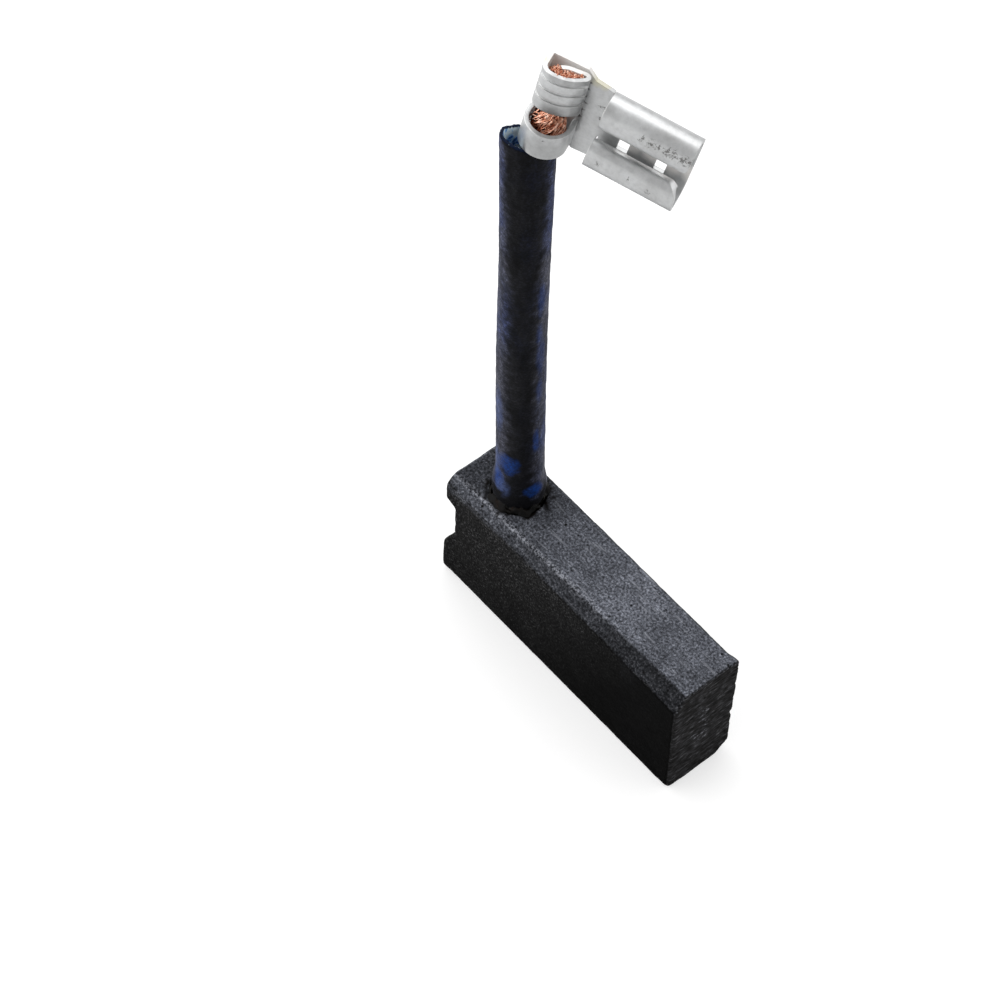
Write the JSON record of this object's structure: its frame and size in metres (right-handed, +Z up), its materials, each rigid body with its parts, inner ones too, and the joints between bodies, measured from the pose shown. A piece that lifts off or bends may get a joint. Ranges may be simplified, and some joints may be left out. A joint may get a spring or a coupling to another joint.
{
  "type": "carbon brush",
  "caption": "Rectangular carbon brush with a sleeved copper lead that ends in a flag terminal for a flat tab.",
  "frame": {"origin": "middle of the block's underside, on the plane that it stands on", "axes": "+X along the block from the spring seat to the contact face, +Z up the way the lead leaves, +Y across the block"},
  "size_m": [0.0298, 0.0118, 0.0693],
  "materials": {
    "carbon": "pressed graphite, fine grain",
    "tamping_powder": "compacted copper and graphite powder",
    "copper_strand": "bare copper strands",
    "woven_sleeve": "dark blue woven and varnished",
    "varnish": "glossy dark brown",
    "tinned_brass": "satin tin plate"
  },
  "bodies": {
    "root": {"carbon_block": "carbon", "tamping_plug": "tamping_powder", "pigtail": "copper_strand", "insulating_sleeve": "woven_sleeve", "varnish_bead": "varnish", "flag_terminal": "tinned_brass"}
  },
  "joints": []
}
